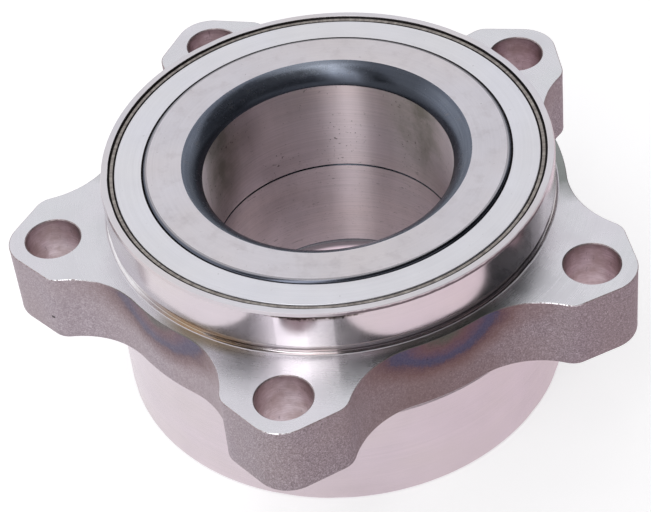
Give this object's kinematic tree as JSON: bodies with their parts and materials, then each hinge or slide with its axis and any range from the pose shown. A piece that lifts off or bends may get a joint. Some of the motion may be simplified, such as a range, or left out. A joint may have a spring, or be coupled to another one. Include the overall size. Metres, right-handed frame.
{
  "type": "flanged wheel hub bearing",
  "caption": "Flanged hub bearing unit: tapered rollers in rows between a lobed outer ring and split inner rings, with seals at both ends.",
  "frame": {"origin": "on the bearing axis, in the machined upper face of the flange, at the centre of the bolt circle", "axes": "+Z along the axis from the flange up through the short collar; -Y through the middle of one lobe"},
  "size_m": [0.152, 0.1455, 0.0628],
  "materials": {
    "forged_ring_steel": "ground and turned faces, shot-blasted forged flange sides",
    "inner_ring_steel": "ground faces and bore, blackened corners",
    "clip_steel": "spring sheet",
    "cage_plastic": "moulded glass-filled nylon",
    "case_steel": "pressed sheet with a brown tint",
    "seal_rubber": "matt black",
    "flinger_steel": "bright stainless sheet",
    "roller_steel": "ground"
  },
  "bodies": {
    "housing": {"outer_ring": "forged_ring_steel", "seal_case_upper": "case_steel", "seal_case_lower": "case_steel", "seal_lip_upper": "seal_rubber", "seal_lip_lower": "seal_rubber"},
    "hub_rings": {"inner_ring_upper": "inner_ring_steel", "inner_ring_lower": "inner_ring_steel", "inner_ring_clip": "clip_steel", "flinger_upper": "flinger_steel", "flinger_lower": "flinger_steel"},
    "cage_upper": {"cage_upper": "cage_plastic"},
    "roller_upper_01": {"roller_upper_01": "roller_steel"},
    "roller_upper_02": {"roller_upper_02": "roller_steel"},
    "roller_upper_03": {"roller_upper_03": "roller_steel"},
    "roller_upper_04": {"roller_upper_04": "roller_steel"},
    "roller_upper_05": {"roller_upper_05": "roller_steel"},
    "roller_upper_06": {"roller_upper_06": "roller_steel"},
    "roller_upper_07": {"roller_upper_07": "roller_steel"},
    "roller_upper_08": {"roller_upper_08": "roller_steel"},
    "roller_upper_09": {"roller_upper_09": "roller_steel"},
    "roller_upper_10": {"roller_upper_10": "roller_steel"},
    "roller_upper_11": {"roller_upper_11": "roller_steel"},
    "roller_upper_12": {"roller_upper_12": "roller_steel"},
    "roller_upper_13": {"roller_upper_13": "roller_steel"},
    "roller_upper_14": {"roller_upper_14": "roller_steel"},
    "roller_upper_15": {"roller_upper_15": "roller_steel"},
    "roller_upper_16": {"roller_upper_16": "roller_steel"},
    "roller_upper_17": {"roller_upper_17": "roller_steel"},
    "roller_upper_18": {"roller_upper_18": "roller_steel"},
    "roller_upper_19": {"roller_upper_19": "roller_steel"},
    "roller_upper_20": {"roller_upper_20": "roller_steel"},
    "roller_upper_21": {"roller_upper_21": "roller_steel"},
    "roller_upper_22": {"roller_upper_22": "roller_steel"},
    "cage_lower": {"cage_lower": "cage_plastic"},
    "roller_lower_01": {"roller_lower_01": "roller_steel"},
    "roller_lower_02": {"roller_lower_02": "roller_steel"},
    "roller_lower_03": {"roller_lower_03": "roller_steel"},
    "roller_lower_04": {"roller_lower_04": "roller_steel"},
    "roller_lower_05": {"roller_lower_05": "roller_steel"},
    "roller_lower_06": {"roller_lower_06": "roller_steel"},
    "roller_lower_07": {"roller_lower_07": "roller_steel"},
    "roller_lower_08": {"roller_lower_08": "roller_steel"},
    "roller_lower_09": {"roller_lower_09": "roller_steel"},
    "roller_lower_10": {"roller_lower_10": "roller_steel"},
    "roller_lower_11": {"roller_lower_11": "roller_steel"},
    "roller_lower_12": {"roller_lower_12": "roller_steel"},
    "roller_lower_13": {"roller_lower_13": "roller_steel"},
    "roller_lower_14": {"roller_lower_14": "roller_steel"},
    "roller_lower_15": {"roller_lower_15": "roller_steel"},
    "roller_lower_16": {"roller_lower_16": "roller_steel"},
    "roller_lower_17": {"roller_lower_17": "roller_steel"},
    "roller_lower_18": {"roller_lower_18": "roller_steel"},
    "roller_lower_19": {"roller_lower_19": "roller_steel"},
    "roller_lower_20": {"roller_lower_20": "roller_steel"},
    "roller_lower_21": {"roller_lower_21": "roller_steel"},
    "roller_lower_22": {"roller_lower_22": "roller_steel"}
  },
  "joints": [
    {"name": "inner_spin", "type": "hinge", "parent": "housing", "child": "hub_rings", "pos_m": [0, 0, -0.0184], "axis": [0, 0, 1], "continuous": true},
    {"name": "cage_upper_spin", "type": "hinge", "parent": "housing", "child": "cage_upper", "pos_m": [0, 0, -0.0184], "axis": [0, 0, 1], "continuous": true},
    {"name": "roller_upper_01_spin", "type": "hinge", "parent": "cage_upper", "child": "roller_upper_01", "pos_m": [0.0433, 0, -0.0043], "axis": [0.2334, 0, 0.9724], "continuous": true},
    {"name": "roller_upper_02_spin", "type": "hinge", "parent": "cage_upper", "child": "roller_upper_02", "pos_m": [0.04155, 0.0122, -0.0043], "axis": [0.224, 0.0658, 0.9724], "continuous": true},
    {"name": "roller_upper_03_spin", "type": "hinge", "parent": "cage_upper", "child": "roller_upper_03", "pos_m": [0.03643, 0.02341, -0.0043], "axis": [0.1964, 0.1262, 0.9724], "continuous": true},
    {"name": "roller_upper_04_spin", "type": "hinge", "parent": "cage_upper", "child": "roller_upper_04", "pos_m": [0.02836, 0.03272, -0.0043], "axis": [0.1529, 0.1764, 0.9724], "continuous": true},
    {"name": "roller_upper_05_spin", "type": "hinge", "parent": "cage_upper", "child": "roller_upper_05", "pos_m": [0.01799, 0.03939, -0.0043], "axis": [0.097, 0.2123, 0.9724], "continuous": true},
    {"name": "roller_upper_06_spin", "type": "hinge", "parent": "cage_upper", "child": "roller_upper_06", "pos_m": [0.00616, 0.04286, -0.0043], "axis": [0.0332, 0.2311, 0.9724], "continuous": true},
    {"name": "roller_upper_07_spin", "type": "hinge", "parent": "cage_upper", "child": "roller_upper_07", "pos_m": [-0.00616, 0.04286, -0.0043], "axis": [-0.0332, 0.2311, 0.9724], "continuous": true},
    {"name": "roller_upper_08_spin", "type": "hinge", "parent": "cage_upper", "child": "roller_upper_08", "pos_m": [-0.01799, 0.03939, -0.0043], "axis": [-0.097, 0.2123, 0.9724], "continuous": true},
    {"name": "roller_upper_09_spin", "type": "hinge", "parent": "cage_upper", "child": "roller_upper_09", "pos_m": [-0.02836, 0.03272, -0.0043], "axis": [-0.1529, 0.1764, 0.9724], "continuous": true},
    {"name": "roller_upper_10_spin", "type": "hinge", "parent": "cage_upper", "child": "roller_upper_10", "pos_m": [-0.03643, 0.02341, -0.0043], "axis": [-0.1964, 0.1262, 0.9724], "continuous": true},
    {"name": "roller_upper_11_spin", "type": "hinge", "parent": "cage_upper", "child": "roller_upper_11", "pos_m": [-0.04155, 0.0122, -0.0043], "axis": [-0.224, 0.0658, 0.9724], "continuous": true},
    {"name": "roller_upper_12_spin", "type": "hinge", "parent": "cage_upper", "child": "roller_upper_12", "pos_m": [-0.0433, 0, -0.0043], "axis": [-0.2334, 0, 0.9724], "continuous": true},
    {"name": "roller_upper_13_spin", "type": "hinge", "parent": "cage_upper", "child": "roller_upper_13", "pos_m": [-0.04155, -0.0122, -0.0043], "axis": [-0.224, -0.0658, 0.9724], "continuous": true},
    {"name": "roller_upper_14_spin", "type": "hinge", "parent": "cage_upper", "child": "roller_upper_14", "pos_m": [-0.03643, -0.02341, -0.0043], "axis": [-0.1964, -0.1262, 0.9724], "continuous": true},
    {"name": "roller_upper_15_spin", "type": "hinge", "parent": "cage_upper", "child": "roller_upper_15", "pos_m": [-0.02836, -0.03272, -0.0043], "axis": [-0.1529, -0.1764, 0.9724], "continuous": true},
    {"name": "roller_upper_16_spin", "type": "hinge", "parent": "cage_upper", "child": "roller_upper_16", "pos_m": [-0.01799, -0.03939, -0.0043], "axis": [-0.097, -0.2123, 0.9724], "continuous": true},
    {"name": "roller_upper_17_spin", "type": "hinge", "parent": "cage_upper", "child": "roller_upper_17", "pos_m": [-0.00616, -0.04286, -0.0043], "axis": [-0.0332, -0.2311, 0.9724], "continuous": true},
    {"name": "roller_upper_18_spin", "type": "hinge", "parent": "cage_upper", "child": "roller_upper_18", "pos_m": [0.00616, -0.04286, -0.0043], "axis": [0.0332, -0.2311, 0.9724], "continuous": true},
    {"name": "roller_upper_19_spin", "type": "hinge", "parent": "cage_upper", "child": "roller_upper_19", "pos_m": [0.01799, -0.03939, -0.0043], "axis": [0.097, -0.2123, 0.9724], "continuous": true},
    {"name": "roller_upper_20_spin", "type": "hinge", "parent": "cage_upper", "child": "roller_upper_20", "pos_m": [0.02836, -0.03272, -0.0043], "axis": [0.1529, -0.1764, 0.9724], "continuous": true},
    {"name": "roller_upper_21_spin", "type": "hinge", "parent": "cage_upper", "child": "roller_upper_21", "pos_m": [0.03643, -0.02341, -0.0043], "axis": [0.1964, -0.1262, 0.9724], "continuous": true},
    {"name": "roller_upper_22_spin", "type": "hinge", "parent": "cage_upper", "child": "roller_upper_22", "pos_m": [0.04155, -0.0122, -0.0043], "axis": [0.224, -0.0658, 0.9724], "continuous": true},
    {"name": "cage_lower_spin", "type": "hinge", "parent": "housing", "child": "cage_lower", "pos_m": [0, 0, -0.0184], "axis": [0, 0, 1], "continuous": true},
    {"name": "roller_lower_01_spin", "type": "hinge", "parent": "cage_lower", "child": "roller_lower_01", "pos_m": [0.0433, 0, -0.0325], "axis": [0.2334, 0, -0.9724], "continuous": true},
    {"name": "roller_lower_02_spin", "type": "hinge", "parent": "cage_lower", "child": "roller_lower_02", "pos_m": [0.04155, 0.0122, -0.0325], "axis": [0.224, 0.0658, -0.9724], "continuous": true},
    {"name": "roller_lower_03_spin", "type": "hinge", "parent": "cage_lower", "child": "roller_lower_03", "pos_m": [0.03643, 0.02341, -0.0325], "axis": [0.1964, 0.1262, -0.9724], "continuous": true},
    {"name": "roller_lower_04_spin", "type": "hinge", "parent": "cage_lower", "child": "roller_lower_04", "pos_m": [0.02836, 0.03272, -0.0325], "axis": [0.1529, 0.1764, -0.9724], "continuous": true},
    {"name": "roller_lower_05_spin", "type": "hinge", "parent": "cage_lower", "child": "roller_lower_05", "pos_m": [0.01799, 0.03939, -0.0325], "axis": [0.097, 0.2123, -0.9724], "continuous": true},
    {"name": "roller_lower_06_spin", "type": "hinge", "parent": "cage_lower", "child": "roller_lower_06", "pos_m": [0.00616, 0.04286, -0.0325], "axis": [0.0332, 0.2311, -0.9724], "continuous": true},
    {"name": "roller_lower_07_spin", "type": "hinge", "parent": "cage_lower", "child": "roller_lower_07", "pos_m": [-0.00616, 0.04286, -0.0325], "axis": [-0.0332, 0.2311, -0.9724], "continuous": true},
    {"name": "roller_lower_08_spin", "type": "hinge", "parent": "cage_lower", "child": "roller_lower_08", "pos_m": [-0.01799, 0.03939, -0.0325], "axis": [-0.097, 0.2123, -0.9724], "continuous": true},
    {"name": "roller_lower_09_spin", "type": "hinge", "parent": "cage_lower", "child": "roller_lower_09", "pos_m": [-0.02836, 0.03272, -0.0325], "axis": [-0.1529, 0.1764, -0.9724], "continuous": true},
    {"name": "roller_lower_10_spin", "type": "hinge", "parent": "cage_lower", "child": "roller_lower_10", "pos_m": [-0.03643, 0.02341, -0.0325], "axis": [-0.1964, 0.1262, -0.9724], "continuous": true},
    {"name": "roller_lower_11_spin", "type": "hinge", "parent": "cage_lower", "child": "roller_lower_11", "pos_m": [-0.04155, 0.0122, -0.0325], "axis": [-0.224, 0.0658, -0.9724], "continuous": true},
    {"name": "roller_lower_12_spin", "type": "hinge", "parent": "cage_lower", "child": "roller_lower_12", "pos_m": [-0.0433, 0, -0.0325], "axis": [-0.2334, 0, -0.9724], "continuous": true},
    {"name": "roller_lower_13_spin", "type": "hinge", "parent": "cage_lower", "child": "roller_lower_13", "pos_m": [-0.04155, -0.0122, -0.0325], "axis": [-0.224, -0.0658, -0.9724], "continuous": true},
    {"name": "roller_lower_14_spin", "type": "hinge", "parent": "cage_lower", "child": "roller_lower_14", "pos_m": [-0.03643, -0.02341, -0.0325], "axis": [-0.1964, -0.1262, -0.9724], "continuous": true},
    {"name": "roller_lower_15_spin", "type": "hinge", "parent": "cage_lower", "child": "roller_lower_15", "pos_m": [-0.02836, -0.03272, -0.0325], "axis": [-0.1529, -0.1764, -0.9724], "continuous": true},
    {"name": "roller_lower_16_spin", "type": "hinge", "parent": "cage_lower", "child": "roller_lower_16", "pos_m": [-0.01799, -0.03939, -0.0325], "axis": [-0.097, -0.2123, -0.9724], "continuous": true},
    {"name": "roller_lower_17_spin", "type": "hinge", "parent": "cage_lower", "child": "roller_lower_17", "pos_m": [-0.00616, -0.04286, -0.0325], "axis": [-0.0332, -0.2311, -0.9724], "continuous": true},
    {"name": "roller_lower_18_spin", "type": "hinge", "parent": "cage_lower", "child": "roller_lower_18", "pos_m": [0.00616, -0.04286, -0.0325], "axis": [0.0332, -0.2311, -0.9724], "continuous": true},
    {"name": "roller_lower_19_spin", "type": "hinge", "parent": "cage_lower", "child": "roller_lower_19", "pos_m": [0.01799, -0.03939, -0.0325], "axis": [0.097, -0.2123, -0.9724], "continuous": true},
    {"name": "roller_lower_20_spin", "type": "hinge", "parent": "cage_lower", "child": "roller_lower_20", "pos_m": [0.02836, -0.03272, -0.0325], "axis": [0.1529, -0.1764, -0.9724], "continuous": true},
    {"name": "roller_lower_21_spin", "type": "hinge", "parent": "cage_lower", "child": "roller_lower_21", "pos_m": [0.03643, -0.02341, -0.0325], "axis": [0.1964, -0.1262, -0.9724], "continuous": true},
    {"name": "roller_lower_22_spin", "type": "hinge", "parent": "cage_lower", "child": "roller_lower_22", "pos_m": [0.04155, -0.0122, -0.0325], "axis": [0.224, -0.0658, -0.9724], "continuous": true}
  ],
  "couplings": [
    {"joint": "cage_upper_spin", "follows": "inner_spin", "ratio": 0.44723},
    {"joint": "roller_upper_01_spin", "follows": "inner_spin", "ratio": -4.5551},
    {"joint": "roller_upper_02_spin", "follows": "inner_spin", "ratio": -4.5551},
    {"joint": "roller_upper_03_spin", "follows": "inner_spin", "ratio": -4.5551},
    {"joint": "roller_upper_04_spin", "follows": "inner_spin", "ratio": -4.5551},
    {"joint": "roller_upper_05_spin", "follows": "inner_spin", "ratio": -4.5551},
    {"joint": "roller_upper_06_spin", "follows": "inner_spin", "ratio": -4.5551},
    {"joint": "roller_upper_07_spin", "follows": "inner_spin", "ratio": -4.5551},
    {"joint": "roller_upper_08_spin", "follows": "inner_spin", "ratio": -4.5551},
    {"joint": "roller_upper_09_spin", "follows": "inner_spin", "ratio": -4.5551},
    {"joint": "roller_upper_10_spin", "follows": "inner_spin", "ratio": -4.5551},
    {"joint": "roller_upper_11_spin", "follows": "inner_spin", "ratio": -4.5551},
    {"joint": "roller_upper_12_spin", "follows": "inner_spin", "ratio": -4.5551},
    {"joint": "roller_upper_13_spin", "follows": "inner_spin", "ratio": -4.5551},
    {"joint": "roller_upper_14_spin", "follows": "inner_spin", "ratio": -4.5551},
    {"joint": "roller_upper_15_spin", "follows": "inner_spin", "ratio": -4.5551},
    {"joint": "roller_upper_16_spin", "follows": "inner_spin", "ratio": -4.5551},
    {"joint": "roller_upper_17_spin", "follows": "inner_spin", "ratio": -4.5551},
    {"joint": "roller_upper_18_spin", "follows": "inner_spin", "ratio": -4.5551},
    {"joint": "roller_upper_19_spin", "follows": "inner_spin", "ratio": -4.5551},
    {"joint": "roller_upper_20_spin", "follows": "inner_spin", "ratio": -4.5551},
    {"joint": "roller_upper_21_spin", "follows": "inner_spin", "ratio": -4.5551},
    {"joint": "roller_upper_22_spin", "follows": "inner_spin", "ratio": -4.5551},
    {"joint": "cage_lower_spin", "follows": "inner_spin", "ratio": 0.44723},
    {"joint": "roller_lower_01_spin", "follows": "inner_spin", "ratio": 4.5551},
    {"joint": "roller_lower_02_spin", "follows": "inner_spin", "ratio": 4.5551},
    {"joint": "roller_lower_03_spin", "follows": "inner_spin", "ratio": 4.5551},
    {"joint": "roller_lower_04_spin", "follows": "inner_spin", "ratio": 4.5551},
    {"joint": "roller_lower_05_spin", "follows": "inner_spin", "ratio": 4.5551},
    {"joint": "roller_lower_06_spin", "follows": "inner_spin", "ratio": 4.5551},
    {"joint": "roller_lower_07_spin", "follows": "inner_spin", "ratio": 4.5551},
    {"joint": "roller_lower_08_spin", "follows": "inner_spin", "ratio": 4.5551},
    {"joint": "roller_lower_09_spin", "follows": "inner_spin", "ratio": 4.5551},
    {"joint": "roller_lower_10_spin", "follows": "inner_spin", "ratio": 4.5551},
    {"joint": "roller_lower_11_spin", "follows": "inner_spin", "ratio": 4.5551},
    {"joint": "roller_lower_12_spin", "follows": "inner_spin", "ratio": 4.5551},
    {"joint": "roller_lower_13_spin", "follows": "inner_spin", "ratio": 4.5551},
    {"joint": "roller_lower_14_spin", "follows": "inner_spin", "ratio": 4.5551},
    {"joint": "roller_lower_15_spin", "follows": "inner_spin", "ratio": 4.5551},
    {"joint": "roller_lower_16_spin", "follows": "inner_spin", "ratio": 4.5551},
    {"joint": "roller_lower_17_spin", "follows": "inner_spin", "ratio": 4.5551},
    {"joint": "roller_lower_18_spin", "follows": "inner_spin", "ratio": 4.5551},
    {"joint": "roller_lower_19_spin", "follows": "inner_spin", "ratio": 4.5551},
    {"joint": "roller_lower_20_spin", "follows": "inner_spin", "ratio": 4.5551},
    {"joint": "roller_lower_21_spin", "follows": "inner_spin", "ratio": 4.5551},
    {"joint": "roller_lower_22_spin", "follows": "inner_spin", "ratio": 4.5551}
  ]
}
